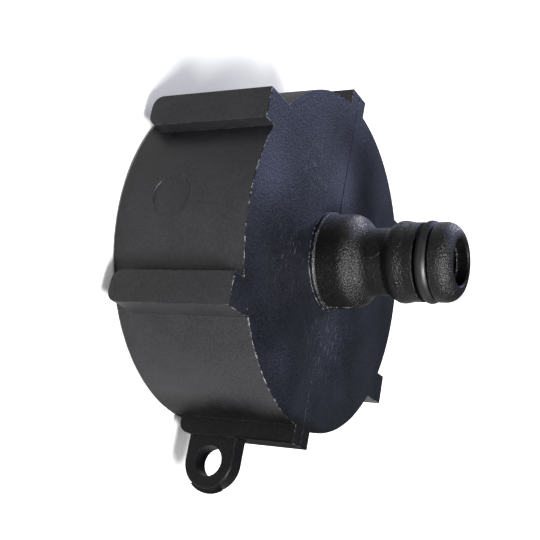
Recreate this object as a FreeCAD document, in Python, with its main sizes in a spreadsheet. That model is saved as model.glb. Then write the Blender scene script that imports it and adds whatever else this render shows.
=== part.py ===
"""Hose adapter for the coarse-thread outlet of a liquid container.

A screw cap with an inner buttress thread carries a push-fit hose nipple on its face. The cap, its grip
ribs, the tether eye and the nipple are one moulding; a flat gasket and an O-ring are the loose pieces.
The origin is on the thread's axis in the plane of the open rim, on which the cap stands. +Z runs along
the nipple, and +X points at the tether eye. The two mould halves part in the XZ plane and open along Y.
"""
import FreeCAD, Part
import math
import os

import Sketcher

os.makedirs("parts", exist_ok=True)
doc = FreeCAD.newDocument("HoseAdapter")

# Driving sizes: name, value in millimetres, meaning
DRIVING = [
    ("cap_height", 28.7, "open rim to outer face"),
    ("face_wall", 3.6, "thickness of the closed face"),
    ("rim_bevel", 0.6, "bevelled outer edge of the open rim"),
    ("cap_wall", 4.3, "cap's wall behind the thread's root"),
    ("lead_play", 0.6, "plain entry below the thread, wider than its root"),
    ("lead_depth", 3.4, "depth of the plain entry"),
    ("lead_bevel", 0.5, "bevel between the entry and the thread's root"),
    ("thread_root", 30.2, "radius at the bottom of the thread's groove"),
    ("thread_depth", 2.2, "height of the thread ridge"),
    ("thread_pitch", 6.0, "coarse buttress pitch"),
    ("thread_gap", 0.8, "the ridge ends at least this far below the gasket"),
    ("runout_turns", 0.1, "part of a turn over which the ridge sinks into the wall at each end"),
    ("thread_inset", 0.4, "ridge starts above the bevel"),
    ("thread_bite", 0.3, "ridge is rooted in the wall"),
    ("crest_width", 1.3, "flat on top of the ridge"),
    ("load_flank", 0.4, "axial run of the steep flank, on the side of the face"),
    ("slack_flank", 2.2, "axial run of the sloping flank, on the side of the rim"),
    ("rib_width", 6.2, "every grip rib"),
    ("rib_rise", 3.4, "height of the two ribs in the parting plane"),
    ("rib_offset", 17.8, "middle of a slanted rib from the YZ plane"),
    ("rib_setback", 0.1, "outer flat of a slanted rib inside the wall's far point"),
    ("rib_start", 2.6, "ribs stand back from the open rim"),
    ("rib_round", 2.2, "rounded corners at the rim end of a rib"),
    ("eye_drop", 4.9, "middle of the eye beyond the rib"),
    ("eye_height", 10.15, "middle of the eye above the open rim"),
    ("eye_radius", 5.45, "outside of the eye"),
    ("eye_hole", 3.05, "radius of the hole in the eye"),
    ("eye_plate", 4.0, "thickness of the eye"),
    ("eye_root", 1.5, "eye is rooted in the cap's wall"),
    ("eye_bevel", 0.3, "softened edges of the eye"),
    ("flash_width", 0.75, "flash that stands out of the eye in the parting plane"),
    ("flash_plate", 0.35, "thickness of the flash"),
    ("flash_low", 4.1, "rim end of the flash, below the middle of the eye"),
    ("flash_high", 3.4, "face end of the flash, above the middle of the eye"),
    ("wall_mark", 4.15, "radius of the ejector mark on the wall"),
    ("wall_mark_height", 11.9, "middle of that mark above the rim"),
    ("wall_mark_depth", 0.25, "depth of that mark"),
    ("neck_mark", 1.6, "radius of the ejector mark on the nipple"),
    ("neck_mark_rise", 11.75, "middle of that mark above the face"),
    ("neck_mark_proud", 0.12, "that mark stands proud of the neck"),
    ("neck_mark_root", 0.9, "that mark is rooted in the neck"),
    ("foot_step", 0.5, "width of the step ring round the nipple's root"),
    ("foot_rise", 0.9, "height of the step ring"),
    ("foot_bevel", 0.25, "softened edge of the step ring"),
    ("barrel_radius", 7.75, "plain barrel each side of the O-ring groove"),
    ("barrel_length", 1.95, "barrel between collar and groove"),
    ("base_step", 1.75, "thick base of the nipple, wider than the barrel"),
    ("base_rise", 6.95, "end of the base above the face"),
    ("base_round", 3.3, "round between base and cone"),
    ("neck_step", 1.05, "waist that the coupling's claws lock behind, narrower than the barrel"),
    ("neck_rise", 8.75, "start of the waist above the face"),
    ("neck_round", 2.4, "round between cone and waist"),
    ("neck_length", 4.75, "length of the waist"),
    ("collar_step", 0.35, "top of the locking collar, wider than the barrel"),
    ("collar_slope", 1.95, "axial run of the collar's locking side"),
    ("collar_top", 1.1, "length of the collar's top"),
    ("collar_back", 1.6, "axial run of the collar's front side"),
    ("collar_round", 1.6, "rounded top of the collar"),
    ("ring_section", 1.3, "radius of the O-ring's section"),
    ("ring_proud", 0.3, "O-ring stands proud of the barrel"),
    ("ring_play", 0.25, "axial play of the O-ring on each side"),
    ("ring_seat", 0.02, "O-ring to the bottom of its groove"),
    ("tip_length", 4.1, "groove to the end of the nipple"),
    ("groove_wall", 0.95, "wall between the O-ring groove and the water bore"),
    ("mouth_bevel", 0.3, "bevel at the mouth of the bore"),
    ("mouth_land", 0.15, "flat ring between that bevel and the rounded end"),
    ("base_wall", 3.15, "wall of the nipple's base round the wider bore"),
    ("throat_rise", 6.6, "end of the wider bore above the face"),
    ("throat_cone", 2.4, "axial run of the cone between the bores"),
    ("gasket_height", 3.0, "thickness of the flat gasket"),
    ("gasket_play", 0.5, "gasket to the thread's root, all round"),
    ("gasket_width", 6.7, "radial width of the gasket"),
    ("gasket_seat", 0.02, "gasket to the face"),
]

# Places worked out from the driving sizes: name, formula, meaning
WORKED_OUT = [
    ("cap_radius", "thread_root + cap_wall", "outside of the cap's wall"),
    ("face_inside", "cap_height - face_wall", "inner side of the closed face"),
    ("lead_radius", "thread_root + lead_play", "radius of the plain entry"),
    ("lead_end", "lead_depth + lead_bevel", "top of the bevel over the entry"),
    ("ridge_outer", "thread_root + thread_bite", "root side of the ridge's section"),
    ("thread_crest", "thread_root - thread_depth", "radius at the top of the ridge"),
    ("ridge_low", "lead_end + thread_inset", "bottom of the ridge's section"),
    ("crest_low", "ridge_low + slack_flank", "lower edge of the crest"),
    ("crest_high", "crest_low + crest_width", "upper edge of the crest"),
    ("ridge_high", "crest_high + load_flank", "top of the ridge's section"),
    ("runout_height", "runout_turns * thread_pitch", "axial run of a run-out"),
    ("runout_growth", "(thread_depth + thread_bite) / runout_turns", "its sinking over a whole turn"),
    ("gasket_top", "face_inside - gasket_seat", "side of the gasket on the face"),
    ("gasket_low", "gasket_top - gasket_height", "side of the gasket on the pipe"),
    ("ridge_end", "gasket_low - thread_gap - runout_height", "highest place for the ridge's last section"),
    ("thread_turns", "floor((ridge_end - ridge_high) / thread_pitch)", "whole turns that find room"),
    ("ridge_climb", "thread_turns * thread_pitch", "the ridge's section from end to end"),
    ("rib_inner", "rib_offset - rib_width / 2", "inner side of a slanted rib"),
    ("rib_outer", "rib_offset + rib_width / 2", "outer side of a slanted rib"),
    ("rib_reach", "cap_radius + rib_rise", "outside of a rib in the parting plane"),
    ("rib_flat", "cap_radius - rib_setback", "outer flat of a slanted rib from the XZ plane"),
    ("rib_span", "2 * rib_flat", "from outer flat to outer flat"),
    ("eye_middle", "rib_reach + eye_drop", "middle of the eye from the axis"),
    ("eye_start", "cap_radius - eye_root", "root of the eye in the cap's wall"),
    ("eye_low", "eye_height - eye_radius", "lower side of the eye"),
    ("eye_high", "eye_height + eye_radius", "upper side of the eye"),
    ("flash_radius", "eye_radius + flash_width", "outside of the flash"),
    ("flash_start", "eye_height - flash_low", "rim end of the flash"),
    ("flash_end", "eye_height + flash_high", "face end of the flash"),
    ("wall_mark_floor", "cap_radius - wall_mark_depth", "floor of the mark on the wall"),
    ("base_radius", "barrel_radius + base_step", "thick base of the nipple"),
    ("neck_radius", "barrel_radius - neck_step", "the waist"),
    ("collar_radius", "barrel_radius + collar_step", "top of the locking collar"),
    ("neck_mark_face", "neck_radius + neck_mark_proud", "face of the mark on the nipple"),
    ("neck_mark_height", "cap_height + neck_mark_rise", "middle of that mark"),
    ("foot_radius", "base_radius + foot_step", "outside of the step ring"),
    ("foot_top", "cap_height + foot_rise", "top of the step ring"),
    ("base_top", "cap_height + base_rise", "end of the thick base"),
    ("neck_start", "cap_height + neck_rise", "start of the waist"),
    ("neck_end", "neck_start + neck_length", "end of the waist"),
    ("collar_low", "neck_end + collar_slope", "start of the collar's top"),
    ("collar_high", "collar_low + collar_top", "end of the collar's top"),
    ("barrel_start", "collar_high + collar_back", "start of the barrel"),
    ("groove_low", "barrel_start + barrel_length", "lower side of the O-ring groove"),
    ("groove_high", "groove_low + 2 * ring_section + 2 * ring_play", "upper side of the groove"),
    ("ring_outer", "barrel_radius + ring_proud", "outside of the O-ring"),
    ("ring_middle", "ring_outer - ring_section", "middle of the O-ring's section"),
    ("ring_height", "groove_low + ring_play + ring_section", "the O-ring above the rim"),
    ("groove_floor", "ring_middle - ring_section - ring_seat", "bottom of the groove"),
    ("tip_end", "groove_high + tip_length", "end of the nipple"),
    ("bore_radius", "groove_floor - groove_wall", "water bore in the nipple"),
    ("throat_radius", "base_radius - base_wall", "wider bore in the nipple's base"),
    ("bevel_start", "tip_end - mouth_bevel", "start of the bevel at the mouth"),
    ("bevel_radius", "bore_radius + mouth_bevel", "bore at the very mouth"),
    ("tip_round", "barrel_radius - bevel_radius - mouth_land", "rounded end of the nipple"),
    ("throat_end", "cap_height + throat_rise", "end of the wider bore"),
    ("bore_start", "throat_end + throat_cone", "start of the narrower bore"),
    ("gasket_outer", "thread_root - gasket_play", "outside of the gasket"),
    ("gasket_inner", "gasket_outer - gasket_width", "hole of the gasket"),
]

sheet = doc.addObject("Spreadsheet::Sheet", "Sizes")
for row, (name, value, meaning) in enumerate(DRIVING, start=1):
    sheet.set(f"A{row}", meaning)
    sheet.set(f"B{row}", str(value))
    sheet.setAlias(f"B{row}", name)
for row, (name, formula, meaning) in enumerate(WORKED_OUT, start=len(DRIVING) + 1):
    sheet.set(f"A{row}", meaning)
    sheet.set(f"B{row}", f"={formula}")
    sheet.setAlias(f"B{row}", name)
doc.recompute()

ORIGIN = (-1, 1)
AXES = {"upright": -2, "level": -1}
ALIKE = 1e-6


def size(name):
    """The number in the sheet's cell of that name; a leading minus mirrors it."""
    if name.startswith("-"):
        return -size(name[1:])
    return float(sheet.get(name))


def bind(thing, place, name):
    """Drive a property of a document object by the sheet's cell of that name."""
    thing.setExpression(place, f"Sizes.{name}")


# Sketches in the XZ plane: x is the distance from the axis and y is the height


def new_body(name):
    """An empty body for one piece."""
    body = doc.addObject("PartDesign::Body", name)
    body.Label = name
    return body


def new_sketch(body, name, stand_off=None):
    """A sketch in the body's XZ plane, or moved from it towards -Y by a size."""
    plane = next(part for part in body.Origin.OriginFeatures if part.Role == "XZ_Plane")
    sketch = body.newObject("Sketcher::SketchObject", name)
    sketch.AttachmentSupport = [(plane, "")]
    sketch.MapMode = "FlatFace"
    if stand_off:
        bind(sketch, ".AttachmentOffset.Base.z", stand_off)
    return sketch


def constrain(sketch, name, *terms):
    """Add a dimension and drive it by the cell of that name."""
    index = sketch.addConstraint(Sketcher.Constraint(*terms, size(name)))
    bind(sketch, f"Constraints[{index}]", name)


def place_point(sketch, point, x_name, y_name):
    """Dimension a point from the origin; None puts it on an axis."""
    places = ((x_name, "DistanceX", AXES["upright"]), (y_name, "DistanceY", AXES["level"]))
    for name, kind, axis in places:
        if name is None:
            sketch.addConstraint(Sketcher.Constraint("PointOnObject", *point, axis))
        elif name.startswith("-"):
            constrain(sketch, name[1:], kind, *point, *ORIGIN)
        else:
            constrain(sketch, name, kind, *ORIGIN, *point)


def at(x_name, y_name):
    """The point that two sizes give, as a first guess for the sketch's solver."""
    x = size(x_name) if x_name else 0.0
    y = size(y_name) if y_name else 0.0
    return FreeCAD.Vector(x, y, 0)


def draw_polygon(sketch, corners):
    """A closed outline with a dimension from the origin to each of its corners."""
    first = sketch.GeometryCount
    count = len(corners)
    for index, corner in enumerate(corners):
        following = corners[(index + 1) % count]
        sketch.addGeometry(Part.LineSegment(at(*corner), at(*following)), False)
    for index, corner in enumerate(corners):
        here = first + index
        following = first + (index + 1) % count
        sketch.addConstraint(Sketcher.Constraint("Coincident", here, 2, following, 1))
        place_point(sketch, (here, 1), *corner)


def draw_rounded_box(sketch, left, right, low, high, corner):
    """A box whose two lower corners are rounded, as the cutter of the mould left them."""
    first = sketch.GeometryCount
    radius = size(corner)
    x_left, x_right, y_low, y_high = size(left), size(right), size(low), size(high)
    up = FreeCAD.Vector(0, 0, 1)
    right_round = Part.Circle(FreeCAD.Vector(x_right - radius, y_low + radius, 0), up, radius)
    left_round = Part.Circle(FreeCAD.Vector(x_left + radius, y_low + radius, 0), up, radius)

    def line(x1, y1, x2, y2):
        return Part.LineSegment(FreeCAD.Vector(x1, y1, 0), FreeCAD.Vector(x2, y2, 0))

    sketch.addGeometry(line(x_left, y_high, x_right, y_high), False)
    sketch.addGeometry(line(x_right, y_high, x_right, y_low + radius), False)
    sketch.addGeometry(Part.ArcOfCircle(right_round, -math.pi / 2, 0), False)
    sketch.addGeometry(line(x_right - radius, y_low, x_left + radius, y_low), False)
    sketch.addGeometry(Part.ArcOfCircle(left_round, math.pi, 1.5 * math.pi), False)
    sketch.addGeometry(line(x_left, y_low + radius, x_left, y_high), False)
    top, right_side, right_arc, bottom, left_arc, left_side = range(first, first + 6)
    for terms in (
        ("Coincident", top, 2, right_side, 1),
        ("Coincident", left_side, 2, top, 1),
        ("Tangent", right_side, 2, right_arc, 2),
        ("Tangent", bottom, 1, right_arc, 1),
        ("Tangent", bottom, 2, left_arc, 2),
        ("Tangent", left_side, 1, left_arc, 1),
        ("Horizontal", bottom),
        ("Equal", right_arc, left_arc),
    ):
        sketch.addConstraint(Sketcher.Constraint(*terms))
    constrain(sketch, corner, "Radius", right_arc)
    constrain(sketch, low, "DistanceY", *ORIGIN, bottom, 1)
    place_point(sketch, (right_side, 1), right, high)
    place_point(sketch, (left_side, 2), left, high)


def draw_circle(sketch, x_name, y_name, radius_name):
    """A circle with its middle placed from the origin."""
    circle = Part.Circle(at(x_name, y_name), FreeCAD.Vector(0, 0, 1), size(radius_name))
    index = sketch.addGeometry(circle, False)
    constrain(sketch, radius_name, "Radius", index)
    place_point(sketch, (index, 3), x_name, y_name)


# Features


def volume_change(body, feature, sign):
    """Stop unless the feature has added (sign 1) or removed (sign -1) material and left one solid."""
    if len(feature.Shape.Solids) != 1:
        raise RuntimeError(f"{body.Label}: {feature.Label} leaves {len(feature.Shape.Solids)} solids")
    before = feature.BaseFeature.Shape.Volume if feature.BaseFeature else 0.0
    if sign * (feature.Shape.Volume - before) <= ALIKE:
        raise RuntimeError(f"{body.Label}: {feature.Label} changes nothing")


def turn(body, name, corners, kind="Revolution"):
    """Turn an outline about the Z axis, to add material or to cut it away."""
    sketch = new_sketch(body, f"{name}_outline")
    draw_polygon(sketch, corners)
    feature = body.newObject(f"PartDesign::{kind}", name)
    feature.Profile = sketch
    feature.ReferenceAxis = (sketch, ["V_Axis"])
    feature.Angle = 360
    feature.Refine = kind == "Revolution"
    doc.recompute()
    volume_change(body, feature, 1 if kind == "Revolution" else -1)
    return feature


def pad_both_ways(body, sketch, name, depth):
    """Pad a sketch to both sides of the parting plane, over a whole depth."""
    feature = body.newObject("PartDesign::Pad", name)
    feature.Profile = sketch
    feature.SideType = "Symmetric"
    bind(feature, "Length", depth)
    doc.recompute()
    volume_change(body, feature, 1)
    return feature


def is_ring(edge, radius, height):
    """Whether an edge is a circle about the Z axis of that radius at that height."""
    curve = edge.Curve
    if not isinstance(curve, Part.Circle):
        return False
    middle = curve.Center
    off_axis = math.hypot(middle.x, middle.y)
    return off_axis < ALIKE and abs(curve.Radius - radius) < ALIKE and abs(middle.z - height) < ALIKE


def dress_edges(body, name, kind, measure, wanted):
    """Round (Fillet) or bevel (Chamfer) the edges of the body's present shape that the test picks."""
    base = body.Tip
    picked = [f"Edge{index}" for index, edge in enumerate(base.Shape.Edges, start=1) if wanted(edge)]
    if not picked:
        raise RuntimeError(f"{body.Label}: {name} finds no edge")
    feature = body.newObject(f"PartDesign::{kind}", name)
    feature.Base = (base, picked)
    bind(feature, "Radius" if kind == "Fillet" else "Size", measure)
    doc.recompute()


def dress_rings(body, name, kind, measure, *rings):
    """Round or bevel circular edges about the Z axis, each given by its radius and its height."""
    places = [(size(ring_radius), size(height) if height else 0.0) for ring_radius, height in rings]
    dress_edges(body, name, kind, measure, lambda edge: any(is_ring(edge, *place) for place in places))


# The moulding


def turned_outside(body):
    """Cap and nipple as one turned solid, with the edges that the mould rounds."""
    turn(body, "turned_outside", [
        (None, None),
        ("cap_radius", None),
        ("cap_radius", "cap_height"),
        ("foot_radius", "cap_height"),
        ("foot_radius", "foot_top"),
        ("base_radius", "foot_top"),
        ("base_radius", "base_top"),
        ("neck_radius", "neck_start"),
        ("neck_radius", "neck_end"),
        ("collar_radius", "collar_low"),
        ("collar_radius", "collar_high"),
        ("barrel_radius", "barrel_start"),
        ("barrel_radius", "groove_low"),
        ("groove_floor", "groove_low"),
        ("groove_floor", "groove_high"),
        ("barrel_radius", "groove_high"),
        ("barrel_radius", "tip_end"),
        (None, "tip_end"),
    ])
    dress_rings(body, "rim_edge", "Chamfer", "rim_bevel", ("cap_radius", None))
    dress_rings(body, "foot_edge", "Chamfer", "foot_bevel", ("foot_radius", "foot_top"))
    dress_rings(body, "base_edge", "Fillet", "base_round", ("base_radius", "base_top"))
    dress_rings(body, "waist_edge", "Fillet", "neck_round", ("neck_radius", "neck_start"))
    dress_rings(
        body, "collar_edges", "Fillet", "collar_round",
        ("collar_radius", "collar_low"), ("collar_radius", "collar_high"),
    )
    dress_rings(body, "tip_edge", "Fillet", "tip_round", ("barrel_radius", "tip_end"))


def grip_ribs(body):
    """Six ribs: two in the parting plane, and four whose sides run along the mould's opening."""
    sketch = new_sketch(body, "parting_ribs_outline")
    draw_rounded_box(sketch, "-rib_reach", "rib_reach", "rib_start", "cap_height", "rib_round")
    pad_both_ways(body, sketch, "parting_ribs", "rib_width")
    sketch = new_sketch(body, "slanted_ribs_outline")
    draw_rounded_box(sketch, "rib_inner", "rib_outer", "rib_start", "cap_height", "rib_round")
    draw_rounded_box(sketch, "-rib_outer", "-rib_inner", "rib_start", "cap_height", "rib_round")
    pad_both_ways(body, sketch, "slanted_ribs", "rib_span")


def tether_eye(body):
    """A plate with a round end and a hole, in the parting plane; its rib covers its root."""
    sketch = new_sketch(body, "eye_outline")
    middle = at("eye_middle", "eye_height")
    upward = FreeCAD.Vector(0, 0, 1)
    round_end = Part.Circle(middle, upward, size("eye_radius"))
    sketch.addGeometry(Part.ArcOfCircle(round_end, -math.pi / 2, math.pi / 2), False)
    sketch.addGeometry(Part.LineSegment(at("eye_middle", "eye_high"), at("eye_start", "eye_high")), False)
    sketch.addGeometry(Part.LineSegment(at("eye_start", "eye_high"), at("eye_start", "eye_low")), False)
    sketch.addGeometry(Part.LineSegment(at("eye_start", "eye_low"), at("eye_middle", "eye_low")), False)
    arc, upper, root, lower = range(4)
    for terms in (
        ("Tangent", arc, 2, upper, 1),
        ("Coincident", upper, 2, root, 1),
        ("Coincident", root, 2, lower, 1),
        ("Tangent", lower, 2, arc, 1),
        ("Vertical", root),
        ("Horizontal", upper),
    ):
        sketch.addConstraint(Sketcher.Constraint(*terms))
    constrain(sketch, "eye_radius", "Radius", arc)
    constrain(sketch, "eye_start", "DistanceX", *ORIGIN, root, 1)
    place_point(sketch, (arc, 3), "eye_middle", "eye_height")
    pad_both_ways(body, sketch, "eye_plate_pad", "eye_plate")

    def outer_arc(edge):
        curve = edge.Curve
        if not isinstance(curve, Part.Circle):
            return False
        near_middle = math.hypot(curve.Center.x - size("eye_middle"), curve.Center.z - size("eye_height"))
        return near_middle < ALIKE and abs(curve.Radius - size("eye_radius")) < ALIKE

    dress_edges(body, "eye_edge", "Chamfer", "eye_bevel", outer_arc)
    eye_flash(body)
    sketch = new_sketch(body, "eye_hole_outline")
    draw_circle(sketch, "eye_middle", "eye_height", "eye_hole")
    hole = body.newObject("PartDesign::Pocket", "eye_hole_cut")
    hole.Profile = sketch
    hole.SideType = "Symmetric"
    bind(hole, "Length", "rib_width")
    doc.recompute()
    volume_change(body, hole, -1)


def eye_flash(body):
    """A thin fin on the eye's round end, where moulding material crept between the mould halves."""
    sketch = new_sketch(body, "flash_outline")
    middle = at("eye_middle", "eye_height")
    lowest = math.asin(-size("flash_low") / size("flash_radius"))
    highest = math.asin(size("flash_high") / size("flash_radius"))
    edge = Part.Circle(middle, FreeCAD.Vector(0, 0, 1), size("flash_radius"))
    sketch.addGeometry(Part.ArcOfCircle(edge, lowest, highest), False)
    arc = sketch.Geometry[0]
    sketch.addGeometry(Part.LineSegment(arc.EndPoint, middle), False)
    sketch.addGeometry(Part.LineSegment(middle, arc.StartPoint), False)
    sketch.addConstraint(Sketcher.Constraint("Coincident", 0, 2, 1, 1))
    sketch.addConstraint(Sketcher.Constraint("Coincident", 1, 2, 2, 1))
    sketch.addConstraint(Sketcher.Constraint("Coincident", 2, 2, 0, 1))
    sketch.addConstraint(Sketcher.Constraint("Coincident", 0, 3, 1, 2))
    constrain(sketch, "flash_radius", "Radius", 0)
    constrain(sketch, "flash_start", "DistanceY", *ORIGIN, 0, 1)
    constrain(sketch, "flash_end", "DistanceY", *ORIGIN, 0, 2)
    place_point(sketch, (0, 3), "eye_middle", "eye_height")
    pad_both_ways(body, sketch, "eye_flash", "flash_plate")


def ejector_marks(body):
    """Flat round marks that two pins of the mould left on the middle line of its -Y half."""
    sketch = new_sketch(body, "wall_mark_outline", "wall_mark_floor")
    draw_circle(sketch, None, "wall_mark_height", "wall_mark")
    wall_mark = body.newObject("PartDesign::Pocket", "wall_mark_cut")
    wall_mark.Profile = sketch
    wall_mark.Reversed = True
    bind(wall_mark, "Length", "wall_mark")
    doc.recompute()
    volume_change(body, wall_mark, -1)

    sketch = new_sketch(body, "neck_mark_outline", "neck_mark_face")
    draw_circle(sketch, None, "neck_mark_height", "neck_mark")
    neck_mark = body.newObject("PartDesign::Pad", "neck_mark_pad")
    neck_mark.Profile = sketch
    neck_mark.Reversed = True
    bind(neck_mark, "Length", "neck_mark_root")
    doc.recompute()
    volume_change(body, neck_mark, 1)


def inner_hollow(body):
    """The thread's socket, the wider throat behind the nipple's base, and the water bore."""
    turn(body, "inner_hollow", [
        (None, None),
        ("lead_radius", None),
        ("lead_radius", "lead_depth"),
        ("thread_root", "lead_end"),
        ("thread_root", "face_inside"),
        ("throat_radius", "face_inside"),
        ("throat_radius", "throat_end"),
        ("bore_radius", "bore_start"),
        ("bore_radius", "bevel_start"),
        ("bevel_radius", "tip_end"),
        (None, "tip_end"),
    ], kind="Groove")


def wind_ridge(body, name, turns, height, growth=None, lift=None, backwards=False):
    """Wind the ridge's section about the axis; with a growth it sinks into the wall on its way."""
    sketch = new_sketch(body, f"{name}_section")
    if lift:
        bind(sketch, ".AttachmentOffset.Base.y", lift)
    draw_polygon(sketch, [
        ("ridge_outer", "ridge_low"),
        ("ridge_outer", "ridge_high"),
        ("thread_root", "ridge_high"),
        ("thread_crest", "crest_high"),
        ("thread_crest", "crest_low"),
        ("thread_root", "ridge_low"),
    ])
    ridge = body.newObject("PartDesign::AdditiveHelix", name)
    ridge.Profile = sketch
    ridge.ReferenceAxis = (sketch, ["V_Axis"])
    ridge.Mode = "height-turns-growth"
    ridge.Reversed = backwards
    ridge.Refine = False
    bind(ridge, "Turns", turns)
    bind(ridge, "Height", height)
    if growth:
        bind(ridge, "Growth", growth)
    doc.recompute()
    volume_change(body, ridge, 1)


def buttress_thread(body):
    """The right-hand inner ridge; its steep flank looks at the face and takes the load."""
    wind_ridge(body, "thread_ridge", "thread_turns", "ridge_climb")
    runout = ("runout_turns", "runout_height", "runout_growth")
    wind_ridge(body, "rim_runout", *runout, backwards=True)
    wind_ridge(body, "face_runout", *runout, lift="ridge_climb")


def make_adapter_body():
    body = new_body("adapter_body")
    turned_outside(body)
    tether_eye(body)
    grip_ribs(body)
    inner_hollow(body)
    ejector_marks(body)
    buttress_thread(body)
    return body


# The loose pieces


def make_flat_gasket():
    """A flat rubber washer against the inside of the face."""
    body = new_body("flat_gasket")
    turn(body, "washer", [
        ("gasket_inner", "gasket_low"),
        ("gasket_outer", "gasket_low"),
        ("gasket_outer", "gasket_top"),
        ("gasket_inner", "gasket_top"),
    ])
    return body


def make_nipple_o_ring():
    """A round rubber cord, swept round the groove near the nipple's end."""
    body = new_body("nipple_o_ring")
    section = new_sketch(body, "cord_section")
    draw_circle(section, "ring_middle", "ring_height", "ring_section")
    level_plane = next(part for part in body.Origin.OriginFeatures if part.Role == "XY_Plane")
    route = body.newObject("Sketcher::SketchObject", "cord_route")
    route.AttachmentSupport = [(level_plane, "")]
    route.MapMode = "FlatFace"
    bind(route, ".AttachmentOffset.Base.z", "ring_height")
    draw_circle(route, None, None, "ring_middle")
    ring = body.newObject("PartDesign::AdditivePipe", "cord")
    ring.Profile = section
    ring.Spine = (route, ["Edge1"])
    doc.recompute()
    return body


def check_document():
    """Stop if any object of the document failed to build."""
    for thing in doc.Objects:
        if "Invalid" in thing.State or "Error" in thing.State:
            raise RuntimeError(f"{thing.Label} is {thing.State}")


def write_piece(piece):
    """Check one piece's shape and write it to its file."""
    shape = piece.Shape
    if shape.isNull() or not shape.isValid() or len(shape.Solids) != 1:
        raise RuntimeError(f"{piece.Label}: not one valid solid")
    shape.exportStep(f"parts/{piece.Label}.step")
    print(f"{piece.Label}: {shape.Volume:.1f} mm3, {len(shape.Faces)} faces")


pieces = [make_adapter_body(), make_flat_gasket(), make_nipple_o_ring()]
doc.recompute()
check_document()
for finished in pieces:
    write_piece(finished)
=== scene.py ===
"""Looks of a hose adapter: a black moulded screw cap with a hose nipple, an O-ring and a gasket.

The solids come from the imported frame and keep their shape. This script adds what the moulding
left on them, such as parting lines, flash and burrs, gives every surface its material, and sets
up the camera, the light and the floor. All lengths are in metres; MM turns millimetres into them.
"""
import math
import random
from types import SimpleNamespace

import bpy
from mathutils import Matrix, Vector
from mathutils.bvhtree import BVHTree


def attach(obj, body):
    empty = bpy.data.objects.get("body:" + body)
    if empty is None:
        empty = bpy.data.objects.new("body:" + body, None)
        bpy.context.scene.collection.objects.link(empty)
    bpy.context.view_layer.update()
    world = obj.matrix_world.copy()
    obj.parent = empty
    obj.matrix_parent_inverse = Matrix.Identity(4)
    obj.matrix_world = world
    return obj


MM = 0.001
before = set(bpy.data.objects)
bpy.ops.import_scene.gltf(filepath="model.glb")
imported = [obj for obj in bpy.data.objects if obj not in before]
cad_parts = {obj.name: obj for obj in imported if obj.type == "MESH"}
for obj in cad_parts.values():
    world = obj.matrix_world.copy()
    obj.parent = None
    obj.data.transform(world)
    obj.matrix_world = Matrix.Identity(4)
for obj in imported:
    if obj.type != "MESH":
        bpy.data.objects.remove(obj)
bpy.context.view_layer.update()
BODY = "root"
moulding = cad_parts["adapter_body"]
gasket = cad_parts["flat_gasket"]
o_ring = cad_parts["nipple_o_ring"]

# Places on the moulding, as built
FACE = 28.7 * MM
CAP_RADIUS = 34.5 * MM
RIB_REACH = 37.9 * MM
RIB_START = 2.6 * MM
RIB_FLAT = -34.4 * MM
FOOT_RADIUS = 10.0 * MM
EYE_MIDDLE = Vector((42.8 * MM, 0.0, 10.15 * MM))
EYE_RADIUS = 5.45 * MM
BORE_RADIUS = 4.48 * MM
TOP = 56.0 * MM
WITNESS_LEVEL = TOP - 2.5 * MM

# Where the plastic's finish changes: x, z or distance from the axis, from no effect to full effect;
# a single value is how far an effect reaches either way
FACE_LEVEL = (FACE - 0.25 * MM, FACE + 0.02 * MM)
OFF_NIPPLE = (9.9 * MM, 10.6 * MM)
NIPPLE_LEVEL = (FACE + 0.3 * MM, FACE + 1.4 * MM)
EYE_SIDE = (31.5 * MM, 34.0 * MM)
RIB_BACK_X = (37.3 * MM, 37.8 * MM)
RIB_BACK_LEVEL = (14.5 * MM, 16.5 * MM)
OFF_BORE = (4.6 * MM, 5.2 * MM)
WITNESS_REACH = 0.3 * MM
RIM_RADIUS = (33.6 * MM, 34.2 * MM)
FOOT_REACH = 0.4 * MM
OUTER_RADIUS = (5.2 * MM, 6.4 * MM)
UPPER_SIDE = (0.0, -6.5 * MM)
TIP_LEVEL = (52.0 * MM, 54.5 * MM)

# Darkest and lightest colour on each part of the moulding; only the cap's is the plastic's own
# colour
SHADES = {
    "cap": ((0.0080, 0.0080, 0.0100, 1), (0.0235, 0.0230, 0.0270, 1)),
    # Painted shade and painted sky reflection: the face darker and bluer than the cap
    "face": ((0.0030, 0.0036, 0.0062, 1), (0.0112, 0.0123, 0.0190, 1)),
    # Painted shade: the nipple darker than the cap
    "nipple": ((0.0022, 0.0022, 0.0026, 1), (0.0085, 0.0083, 0.0085, 1)),
    # Painted shade: the eye side darker than the cap
    "eye": ((0.0025, 0.0025, 0.0030, 1), (0.0085, 0.0085, 0.0095, 1)),
}
SCRATCH_COLOUR = (0.085, 0.090, 0.105, 1)
# Light grey on the edges, partly real wear and partly painted highlight
EDGE_WEAR_AND_HIGHLIGHT_COLOUR = (0.32, 0.32, 0.33, 1)

# How strongly the plastic mirrors, and how much less it does so on some parts; that weaker mirror
# is painted shade
MIRROR_LEVEL = 0.5
LESS_MIRROR = {"eye": 0.33, "nipple": 0.09, "rib_back": 0.165, "bore": 0.30}

# Shallow waves in the face, in millimetres: middle in x and y, spread, and how far the face leans
# the WAVE_LEAN way there
WAVE_LEAN = (-0.83, -0.55)
WAVES = (
    (-4.9, -28.7, 7.0, 0.16),
    (-13.0, -7.8, 8.0, 0.06),
    (-17.2, 1.7, 6.0, 0.20),
    (20.0, -20.0, 7.0, 0.34),
    (26.2, -11.3, 5.0, 0.20),
    (16.0, 5.5, 7.0, 0.24),
    (-25.4, 20.9, 6.0, 0.06),
    (-25.5, -3.0, 6.0, -0.07),
    (-22.0, 8.0, 6.0, -0.12),
    (8.0, -22.5, 8.0, -0.22),
    (14.0, -11.0, 5.0, -0.12),
    (20.0, -6.0, 5.0, -0.12),
    (11.0, 25.6, 9.0, -0.10),
    (25.6, 12.3, 7.0, -0.08),
)

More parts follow.
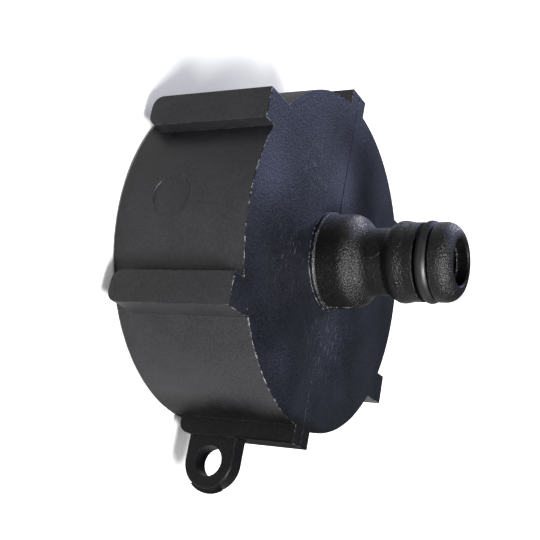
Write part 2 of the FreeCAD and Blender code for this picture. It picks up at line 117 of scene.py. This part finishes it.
# Where the face is scratched along x, in millimetres: middle in x and y, and reach
SCRATCHES = ((15.0, 4.0, 13.0), (-15.0, -11.0, 12.0), (5.0, -17.0, 10.0))
SCRATCH_STRETCH = 0.22


# Materials


class Nodes:
    """Short ways to add and link shader nodes of one material."""

    def __init__(self, name):
        self.material = bpy.data.materials.new(name)
        self.material.use_nodes = True
        self.tree = self.material.node_tree
        self.shader = self.tree.nodes["Principled BSDF"]

    def link(self, source, target):
        self.tree.links.new(source, target)

    def set_input(self, node, key, value):
        """Link a socket to a node's input, or give the input a fixed value."""
        if isinstance(value, bpy.types.NodeSocket):
            self.link(value, node.inputs[key])
        elif value is not None:
            node.inputs[key].default_value = value

    def add(self, kind, inputs=None, **settings):
        node = self.tree.nodes.new(kind)
        for key, value in settings.items():
            setattr(node, key, value)
        for key, value in (inputs or {}).items():
            self.set_input(node, key, value)
        return node

    def shade(self, inputs):
        """Fill the surface shader's inputs and return the material."""
        for key, value in inputs.items():
            self.set_input(self.shader, key, value)
        return self.material

    def math(self, operation, first, second=0.0, third=0.0):
        inputs = {0: first, 1: second, 2: third}
        return self.add("ShaderNodeMath", inputs, operation=operation).outputs[0]

    def plus(self, first, second):
        return self.math("ADD", first, second)

    def minus(self, first, second):
        return self.math("SUBTRACT", first, second)

    def times(self, first, second):
        return self.math("MULTIPLY", first, second)

    def larger(self, first, second):
        return self.math("MAXIMUM", first, second)

    def vector(self, x, y, z=None):
        return self.add("ShaderNodeCombineXYZ", {0: x, 1: y, 2: z}).outputs[0]

    def vector_math(self, operation, first, second=None, output="Vector"):
        inputs = {0: first, 1: second}
        return self.add("ShaderNodeVectorMath", inputs, operation=operation).outputs[output]

    def place(self):
        """The shaded point on the part."""
        return self.add("ShaderNodeTexCoord").outputs["Object"]

    def split(self, place):
        """The x, y and z of a place."""
        return self.add("ShaderNodeSeparateXYZ", {0: place}).outputs

    def ramp(self, value, low, high, to_low=0.0, to_high=1.0):
        """Map a value smoothly from one range to another."""
        ends = {"From Min": low, "From Max": high, "To Min": to_low, "To Max": to_high}
        inputs = {"Value": value, **ends}
        return self.add("ShaderNodeMapRange", inputs, interpolation_type="SMOOTHSTEP").outputs[0]

    def mix_colour(self, share, first, second):
        node = self.add("ShaderNodeMix", data_type="RGBA")
        for key, value in ((0, share), (6, first), (7, second)):
            self.set_input(node, key, value)
        return node.outputs[2]

    def distance(self, place, x, y):
        """How far a place in the face's plane is from a point given in millimetres."""
        return self.vector_math("DISTANCE", place, (x * MM, y * MM, 0), "Value")

    def noise(self, place, scale, detail, roughness=0.55):
        inputs = {"Vector": place, "Scale": scale, "Detail": detail, "Roughness": roughness}
        return self.add("ShaderNodeTexNoise", inputs).outputs["Fac"]

    def bump(self, height, distance, strength, normal=None):
        inputs = {"Height": height, "Distance": distance, "Strength": strength, "Normal": normal}
        return self.add("ShaderNodeBump", inputs).outputs["Normal"]


def per_mm(features):
    """A texture scale in features per millimetre."""
    return features / MM


def measures(n):
    """The shaded point, its x, y, z and distance from the axis, and the point seen from above."""
    place = n.place()
    x, y, z = n.split(place)
    radius = n.math("SQRT", n.plus(n.times(x, x), n.times(y, y)))
    return SimpleNamespace(place=place, x=x, y=y, z=z, radius=radius, plan=n.vector(x, y))


def zones(n, at):
    """How far the shaded point belongs to each part of the moulding, from 0 to 1."""
    above_face = n.ramp(at.z, *FACE_LEVEL)
    near_axis = n.ramp(at.radius, *OFF_NIPPLE, 1.0, 0.0)
    nipple = n.times(n.ramp(at.z, *NIPPLE_LEVEL), near_axis)
    by_bore = n.times(nipple, n.ramp(at.radius, *OFF_BORE, 1.0, 0.0))
    witness = n.math("COMPARE", at.z, WITNESS_LEVEL, WITNESS_REACH)
    outer_side = n.times(nipple, n.ramp(at.radius, *OUTER_RADIUS))
    return SimpleNamespace(
        above_face=above_face,
        face=n.times(above_face, n.ramp(at.radius, *OFF_NIPPLE)),
        nipple=nipple,
        eye=n.ramp(at.x, *EYE_SIDE),
        rib_back=n.times(n.ramp(at.x, *RIB_BACK_X), n.ramp(at.z, *RIB_BACK_LEVEL)),
        bore=n.times(by_bore, n.minus(1.0, witness)),
        upper_side=n.times(outer_side, n.ramp(at.x, *UPPER_SIDE)),
    )


def mottle(n, at):
    """A cloudy and speckled tone, from 0 to 1."""
    clouds = n.ramp(n.noise(at.place, per_mm(0.09), detail=4.0), 0.32, 0.68)
    speckles = n.ramp(n.noise(at.place, per_mm(2.2), detail=2.0), 0.34, 0.66)
    return n.plus(n.times(clouds, 0.45), n.times(speckles, 0.55))


def scratches(n, at, zone):
    """Fine scratches along x in a few spots of the face."""
    stretched = n.vector(n.times(at.x, SCRATCH_STRETCH), at.y)
    lines = n.ramp(n.noise(stretched, per_mm(1.9), detail=2.0), 0.60, 0.68)
    spots = 0.0
    for x, y, reach in SCRATCHES:
        spots = n.larger(spots, n.ramp(n.distance(at.plan, x, y), reach * MM, 0.0))
    return n.times(n.times(lines, spots), zone.face)


def edge_wear_and_painted_highlight(n, at, zone, soft_edge, flat):
    """Light spots on the edges, partly real wear and partly painted highlight: faint ones
    everywhere, strong ones round the face and the foot.
    """
    facing = n.vector_math("DOT_PRODUCT", soft_edge, flat, "Value")
    edge = n.ramp(facing, 0.995, 0.90)
    chipped = n.ramp(n.noise(at.place, per_mm(1.1), detail=2.0), 0.47, 0.62)
    at_rim = n.times(zone.above_face, n.ramp(at.radius, *RIM_RADIUS))
    from_foot = n.math("ABSOLUTE", n.minus(at.radius, FOOT_RADIUS))
    at_foot = n.times(zone.above_face, n.math("LESS_THAN", from_foot, FOOT_REACH))
    share = n.plus(n.times(n.larger(at_rim, at_foot), 0.65), 0.15)
    spared_edges = n.larger(n.times(zone.eye, 0.6), n.times(zone.bore, 0.8))
    return n.times(n.times(edge, chipped), n.times(share, n.minus(1.0, spared_edges)))


def relief(n, at, zone):
    """Faint waves all over, streaks away from the axis and wrinkles on the face, and a grain."""
    guarded = n.larger(at.radius, 1 * MM)
    outward = n.vector(
        n.math("DIVIDE", at.x, guarded),
        n.math("DIVIDE", at.y, guarded),
        n.times(at.radius, per_mm(0.035)),
    )
    streaks = n.noise(outward, scale=46.0, detail=4.0, roughness=0.6)
    wrinkles = n.noise(at.place, per_mm(2.4), detail=4.0, roughness=0.65)
    grain = n.noise(at.place, per_mm(2.6), detail=3.0, roughness=0.6)
    waves = n.noise(at.place, per_mm(0.16), detail=2.0)
    on_face = n.plus(n.times(streaks, 0.45), n.times(wrinkles, 0.55))
    grained = n.plus(n.times(n.minus(zone.nipple, zone.bore), 0.75), 0.22)
    normal = n.bump(waves, distance=0.10 * MM, strength=0.35)
    normal = n.bump(on_face, distance=0.15 * MM, strength=n.times(zone.face, 0.9), normal=normal)
    return n.bump(grain, distance=0.28 * MM, strength=grained, normal=normal)


def face_waves(n, at, zone):
    """How the shallow waves turn the face's normal."""
    lean = 0.0
    for x, y, spread, amount in WAVES:
        away = n.distance(at.plan, x, y)
        lean = n.plus(lean, n.ramp(away, 0, 2 * spread * MM, amount, 0))
    lean = n.times(lean, zone.face)
    return n.vector(*(n.times(lean, share) for share in WAVE_LEAN))


def moulded_plastic(name):
    """Black polypropylene: satin on the cap, finely wrinkled on the face, grained on the nipple."""
    n = Nodes(name)
    at = measures(n)
    zone = zones(n, at)
    tone = mottle(n, at)
    soft_edge = n.add("ShaderNodeBevel", {"Radius": 0.22 * MM}, samples=6).outputs[0]
    flat = n.add("ShaderNodeNewGeometry").outputs["Normal"]

    shade = {part: n.mix_colour(tone, *ends) for part, ends in SHADES.items()}
    # The face's colour carries painted shade and a painted sky reflection; the eye's and the
    # nipple's carry painted shade
    colour = n.mix_colour(zone.above_face, shade["cap"], shade["face"])
    colour = n.mix_colour(zone.eye, colour, shade["eye"])
    colour = n.mix_colour(zone.nipple, colour, shade["nipple"])
    colour = n.mix_colour(n.times(scratches(n, at, zone), 0.6), colour, SCRATCH_COLOUR)
    # Light edges, partly real wear and partly painted highlight
    colour = n.mix_colour(edge_wear_and_painted_highlight(n, at, zone, soft_edge, flat), colour, EDGE_WEAR_AND_HIGHLIGHT_COLOUR)

    normal = n.vector_math("ADD", relief(n, at, zone), soft_edge)
    normal = n.vector_math("SUBTRACT", normal, flat)
    normal = n.vector_math("ADD", normal, face_waves(n, at, zone))

    plain_roughness = n.minus(0.34, n.times(zone.above_face, 0.07))
    # Painted shade: the weaker mirror on the eye, the nipple, the back of rib C and in the bore
    less_mirror = 0.0
    for part, amount in LESS_MIRROR.items():
        less_mirror = n.plus(less_mirror, n.times(getattr(zone, part), amount))
    # Painted sheen on the nipple's upper side, weaker towards the tip
    dust_and_painted_sheen = n.times(zone.upper_side, n.ramp(at.z, *TIP_LEVEL, 0.9, 0.3))
    return n.shade({
        "Base Color": colour,
        "Roughness": n.plus(n.times(tone, 0.16), plain_roughness),
        "Normal": n.vector_math("NORMALIZE", normal),
        "Specular IOR Level": n.minus(MIRROR_LEVEL, less_mirror),
        "Sheen Weight": dust_and_painted_sheen,
        "Sheen Roughness": 0.35,
        "IOR": 1.49,
    })


def smooth_rubber(name):
    """Black O-ring rubber, nearly smooth, with a faint bloom."""
    n = Nodes(name)
    place = n.place()
    bloom = n.noise(place, per_mm(0.5), detail=4.0)
    pores = n.noise(place, per_mm(3.0), detail=2.0)
    return n.shade({
        "Base Color": n.mix_colour(bloom, (0.0070, 0.0070, 0.0075, 1), (0.0150, 0.0150, 0.0160, 1)),
        "Roughness": n.ramp(bloom, 0.3, 0.7, 0.42, 0.52),
        "Normal": n.bump(pores, distance=0.012 * MM, strength=0.3),
        "IOR": 1.52,
    })


def sheet_rubber(name):
    """Matt black gasket sheet with a fine calender grain."""
    n = Nodes(name)
    place = n.place()
    cells = n.add("ShaderNodeTexVoronoi", {"Vector": place, "Scale": per_mm(1.4)})
    dust_and_painted_sheen = n.noise(place, per_mm(0.25), detail=5.0)
    return n.shade({
        "Base Color": n.mix_colour(dust_and_painted_sheen, (0.016, 0.016, 0.016, 1), (0.034, 0.033, 0.032, 1)),
        "Roughness": n.ramp(dust_and_painted_sheen, 0.3, 0.7, 0.62, 0.78),
        "Normal": n.bump(cells.outputs["Distance"], distance=0.05 * MM, strength=0.45),
        "IOR": 1.5,
    })


def dress(node, material):
    """Give a CAD node its material."""
    node.data.materials.clear()
    node.data.materials.append(material)


PLASTIC = moulded_plastic("moulded_plastic_look")
dress(moulding, PLASTIC)
dress(o_ring, smooth_rubber("o_ring_look"))
dress(gasket, sheet_rubber("gasket_look"))


# What the moulding left on the part

MOULD_OPENING = Vector((0, 1, 0))
UPWARD = Vector((0, 0, 1))
RAY_START = 60 * MM
RAY_ABOVE_FACE = 5 * MM
BEAD_ROOT = 0.06 * MM
BEAD_PITCH = 0.35 * MM
BURR_PITCH = 0.30 * MM
BURR_WIDTH = 0.14 * MM

# Parting lines: from where to where on the face and on rib C, and where the latter clears the eye
FACE_LINE = (RIB_REACH - 0.1 * MM, FOOT_RADIUS + 0.1 * MM)
RIB_LINE = (RIB_START + 2.3 * MM, FACE - 0.1 * MM)
ABOVE_EYE = EYE_MIDDLE.z + EYE_RADIUS + 0.3 * MM
# Parting lines on the nipple, in millimetres: part, lowest and highest point, and height
NIPPLE_LINES = (
    ("base", 30.0, 42.2, 0.05),
    ("collar", 42.4, 48.7, 0.03),
    ("tip", 52.1, 55.4, 0.03),
)
# Torn stretches of the face's edge, from angle to angle in degrees, and how far in they lie
FACE_BURRS = ((-110, -66), (-56, -20), (186, 222))
FACE_BURR_INSET = 0.09 * MM
# The torn stretch on the ends of ribs A and B, from x to x either side, and how far in it lies
RIB_BURR = (14.8 * MM, 20.8 * MM)
RIB_BURR_INSET = 0.08 * MM
# What is left on the parting line at the nipple's foot, from level to level
FOOT_BURR = (29.0 * MM, 35.2 * MM)
FOOT_TICK = (28.9 * MM, 30.2 * MM)
FOOT_TICK_PITCH = 0.25 * MM
# Flash round the eye: from angle to angle and its pitch in degrees, and its distance from the hole
FLASH_ANGLES = (-30, 30)
FLASH_PITCH = 2.5
FLASH_REACH = 6.17 * MM
WITNESS_PITCH = 0.4 * MM


def new_piece(name, points, faces):
    """A mesh that rides on the part and takes the plastic's finish."""
    mesh = bpy.data.meshes.new(name)
    mesh.from_pydata([tuple(point) for point in points], [], faces)
    mesh.validate()
    mesh.update()
    piece = bpy.data.objects.new(name, mesh)
    bpy.context.scene.collection.objects.link(piece)
    piece.data.materials.append(PLASTIC)
    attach(piece, BODY)


surface = BVHTree.FromPolygons(
    [vertex.co for vertex in moulding.data.vertices],
    [list(polygon.vertices) for polygon in moulding.data.polygons],
)


def lay_on(start, direction):
    """The point of the moulding that a ray meets first."""
    place = surface.ray_cast(Vector(start), Vector(direction))[0]
    if place is None:
        raise RuntimeError(f"no surface from {tuple(start)} towards {tuple(direction)}")
    return place


def steps(first, last, pitch):
    """Evenly spaced values from first to last, both included."""
    count = max(1, math.ceil(abs(last - first) / pitch))
    return [first + (last - first) * index / count for index in range(count + 1)]


def up_the_side(side, low, high, pitch):
    """Points up the +x side (1) or the -x side (-1) of the moulding, in the parting plane."""
    return [lay_on((side * RAY_START, 0, z), (-side, 0, 0)) for z in steps(low, high, pitch)]


def outward_at(place):
    """The direction away from the axis, level with the rim."""
    return Vector((place.x, place.y, 0)).normalized()


def on_circle(radius, degrees):
    """The x and y of a point on a circle."""
    angle = math.radians(degrees)
    return radius * math.cos(angle), radius * math.sin(angle)


def ring_part(radius, height, first, last, pitch):
    """Points on a level circle round the axis, between two angles in degrees."""
    turn = math.degrees(pitch / radius)
    return [Vector((*on_circle(radius, a), height)) for a in steps(first, last, turn)]


def bead(name, path, across, width, height, ragged, seed):
    """A thin ridge along a path on the surface; its crest varies along the way.

    Its width lies along across, a direction or a function of the place. Its crest rises towards
    across x the direction of travel, so a path runs the way that makes this point outwards.
    """
    chance = random.Random(seed)
    ends = (0, len(path) - 1)
    points = []
    for index, place in enumerate(path):
        before = path[max(index - 1, 0)]
        after = path[min(index + 1, len(path) - 1)]
        along = (after - before).normalized()
        side = across(place) if callable(across) else across
        outward = side.cross(along).normalized()
        rise = height * (1 - ragged * chance.random())
        if index in ends:
            rise = 0.0
        half = side * (width / 2)
        root = outward * BEAD_ROOT
        points += [place - half - root, place + outward * rise, place + half - root]
    faces = []
    for index in range(len(path) - 1):
        low = index * 3
        for first, second in ((0, 1), (1, 2), (2, 0)):
            faces.append((low + first, low + second, low + 3 + second, low + 3 + first))
    last = ends[1] * 3
    faces += [(2, 1, 0), (last, last + 1, last + 2)]
    new_piece(name, points, faces)


def parting_lines():
    """Beads where the two mould halves met: over the face, rib C above its eye, and the nipple."""
    for side, word in ((1, "eye_side"), (-1, "far_side")):
        across = MOULD_OPENING * side
        face = [
            lay_on((side * x, 0, FACE + RAY_ABOVE_FACE), -UPWARD)
            for x in steps(*FACE_LINE, BEAD_PITCH)
        ]
        bead(
            f"parting_line_face_{word}", face, across,
            width=0.30 * MM, height=0.10 * MM, ragged=0.4, seed=11 + side,
        )
        if side > 0:
            rib = up_the_side(side, *RIB_LINE, BEAD_PITCH)
            rib = [place for place in rib if place.z > ABOVE_EYE]
            bead(
                f"parting_line_rib_{word}", rib, across,
                width=0.22 * MM, height=0.05 * MM, ragged=0.5, seed=21 + side,
            )
        for part, low, high, rise in NIPPLE_LINES:
            line = up_the_side(side, low * MM, high * MM, BEAD_PITCH)
            bead(
                f"parting_line_{part}_{word}", line, across,
                width=0.16 * MM, height=rise * MM, ragged=0.5, seed=31 + side,
            )


def edge_burrs():
    """Torn edges round the face and on the ends of ribs A and B."""
    for index, (first, last) in enumerate(FACE_BURRS):
        edge = ring_part(CAP_RADIUS - FACE_BURR_INSET, FACE, first, last, BURR_PITCH)
        bead(
            f"face_burr_{index}", edge, outward_at,
            width=BURR_WIDTH, height=0.17 * MM, ragged=0.9, seed=51 + index,
        )
    for side, word in ((-1, "a"), (1, "b")):
        y = RIB_FLAT + RIB_BURR_INSET
        end = [Vector((side * x, y, FACE)) for x in steps(*RIB_BURR, BURR_PITCH)]
        bead(
            f"rib_{word}_burr", end[::side], -MOULD_OPENING,
            width=BURR_WIDTH, height=0.14 * MM, ragged=0.9, seed=71 + side,
        )


def foot_burrs():
    """A torn burr and a small tick where the parting line meets the nipple's foot."""
    burr = up_the_side(1, *FOOT_BURR, BURR_PITCH)
    bead(
        "foot_burr", burr, MOULD_OPENING,
        width=0.20 * MM, height=0.38 * MM, ragged=0.85, seed=61,
    )
    tick = up_the_side(-1, *FOOT_TICK, FOOT_TICK_PITCH)
    bead(
        "foot_tick", tick, -MOULD_OPENING,
        width=0.35 * MM, height=0.45 * MM, ragged=0.3, seed=62,
    )


def eye_flash():
    """A thin edge of flash round the outer end of the eye; its crest lies on the path."""
    path = []
    for angle in steps(*FLASH_ANGLES, FLASH_PITCH):
        x, z = on_circle(1, angle)
        path.append(EYE_MIDDLE + Vector((x, 0, z)) * FLASH_REACH)
    bead("eye_flash", path, MOULD_OPENING, width=0.16 * MM, height=0.0, ragged=0.5, seed=63)


def bore_witness():
    """The ring inside the nipple's mouth where two core pins met."""
    ring = ring_part(BORE_RADIUS, WITNESS_LEVEL, 0, 360, WITNESS_PITCH)
    bead("bore_witness", ring, UPWARD, width=0.5 * MM, height=0.28 * MM, ragged=0.4, seed=64)


parting_lines()
edge_burrs()
foot_burrs()
eye_flash()
bore_witness()


# Camera, light and floor

CAMERA_PLACE = Vector((64.753, -170.824, 117.631)) * MM
CAMERA_RIGHT = Vector((-0.17889431, 0.45839974, 0.87055529))
CAMERA_UP = Vector((-0.93681771, -0.34971793, -0.00836333))
CAMERA_LENS = 66.74
CAMERA_SENSOR = 36.0
CAMERA_NEAREST = 0.01

LAMP_TARGET = Vector((0, 0, 25 * MM))
# Name, direction, distance, width, height, power and colour of each lamp
LAMPS = (
    ("key", (0.50, -0.30, 0.80), 0.55, 0.18, 0.18, 6.6, (1.0, 0.985, 0.96)),
    ("front", (0.40, -0.88, 0.28), 0.9, 0.9, 0.5, 0.15, (1.0, 1.0, 1.0)),
    ("window", (-0.79, 0.54, 0.28), 0.9, 0.6, 0.7, 3.4, (0.56, 0.61, 1.0)),
)
SKY_COLOUR = (0.80, 0.88, 1.0, 1)
SKY_STRENGTH = 0.10

FLOOR_HALF = 4.0
FLOOR_LEVEL = -0.02 * MM
FLOOR_PALE = (0.80, 0.80, 0.80, 1)
# Painted shade: the colour the floor takes, in part, in the part's mirror image
FLOOR_MIRROR_SHADE = (0.10, 0.10, 0.10, 1)
# How much painted shade darkens the floor's mirror image, from its share at the first x to its
# share at the second
MIRROR_SHADE_PLACE = (15 * MM, -50 * MM)
MIRROR_SHADE_SHARE = (0.64, 0.74)
MIRROR_GLOW = 0.12
CAMERA_GLOW = 0.70
SHADE_REACH = 60 * MM


def add_camera():
    """The photograph's viewpoint: turned so that the nipple points to the right."""
    data = bpy.data.cameras.new("camera")
    data.sensor_width = CAMERA_SENSOR
    data.lens = CAMERA_LENS
    data.clip_start = CAMERA_NEAREST
    camera = bpy.data.objects.new("camera", data)
    back = CAMERA_RIGHT.cross(CAMERA_UP)
    turn = Matrix((CAMERA_RIGHT, CAMERA_UP, back)).transposed().to_4x4()
    camera.matrix_world = Matrix.Translation(CAMERA_PLACE) @ turn
    bpy.context.scene.collection.objects.link(camera)
    bpy.context.scene.camera = camera


def soft_light(name, direction, distance, width, height, power, colour):
    """A rectangular lamp that looks at the cap."""
    data = bpy.data.lights.new(name, "AREA")
    data.shape = "RECTANGLE"
    data.size = width
    data.size_y = height
    data.energy = power
    data.color = colour
    lamp = bpy.data.objects.new(name, data)
    away = Vector(direction).normalized()
    lamp.location = LAMP_TARGET + away * distance
    lamp.rotation_euler = away.to_track_quat("Z", "Y").to_euler()
    bpy.context.scene.collection.objects.link(lamp)


def add_world():
    """A faint, slightly blue light from all sides."""
    world = bpy.data.worlds.new("world")
    world.use_nodes = True
    background = world.node_tree.nodes["Background"]
    background.inputs["Color"].default_value = SKY_COLOUR
    background.inputs["Strength"].default_value = SKY_STRENGTH
    bpy.context.scene.world = world


def floor_material():
    """Pale and lifted to white where the camera sees it, with painted shade where the part mirrors
    it and in its glow near the part.
    """
    n = Nodes("pale_floor")
    x = n.split(n.place())[0]
    rays = n.add("ShaderNodeLightPath").outputs
    mirrored = rays["Is Glossy Ray"]
    mirror_shade = n.times(mirrored, n.ramp(x, *MIRROR_SHADE_PLACE, *MIRROR_SHADE_SHARE))
    n.shade({"Base Color": n.mix_colour(mirror_shade, FLOOR_PALE, FLOOR_MIRROR_SHADE), "Roughness": 0.9})
    seen = n.larger(mirrored, rays["Is Transmission Ray"])
    seen = n.times(seen, n.minus(MIRROR_GLOW, n.times(mirror_shade, MIRROR_GLOW)))
    seen = n.plus(seen, n.times(rays["Is Camera Ray"], CAMERA_GLOW))
    # Painted shade: the floor's glow fades where the part is near
    open_sky = n.add("ShaderNodeAmbientOcclusion", {"Distance": SHADE_REACH}, samples=8)
    strength = n.times(seen, open_sky.outputs["AO"])
    glow = n.add("ShaderNodeEmission", {"Strength": strength})
    total = n.add("ShaderNodeAddShader", {0: n.shader.outputs[0], 1: glow.outputs[0]})
    n.link(total.outputs[0], n.tree.nodes["Material Output"].inputs["Surface"])
    return n.material


def add_floor():
    """The floor that keeps the part's shadow, just under the rim."""
    signs = ((-1, -1), (1, -1), (1, 1), (-1, 1))
    corners = [(x * FLOOR_HALF, y * FLOOR_HALF, FLOOR_LEVEL) for x, y in signs]
    mesh = bpy.data.meshes.new("floor")
    mesh.from_pydata(corners, [], [(0, 1, 2, 3)])
    mesh.materials.append(floor_material())
    floor = bpy.data.objects.new("floor", mesh)
    bpy.context.scene.collection.objects.link(floor)


add_camera()
add_world()
add_floor()
for lamp_settings in LAMPS:
    soft_light(*lamp_settings)

scene = bpy.context.scene
scene.view_settings.view_transform = "Standard"
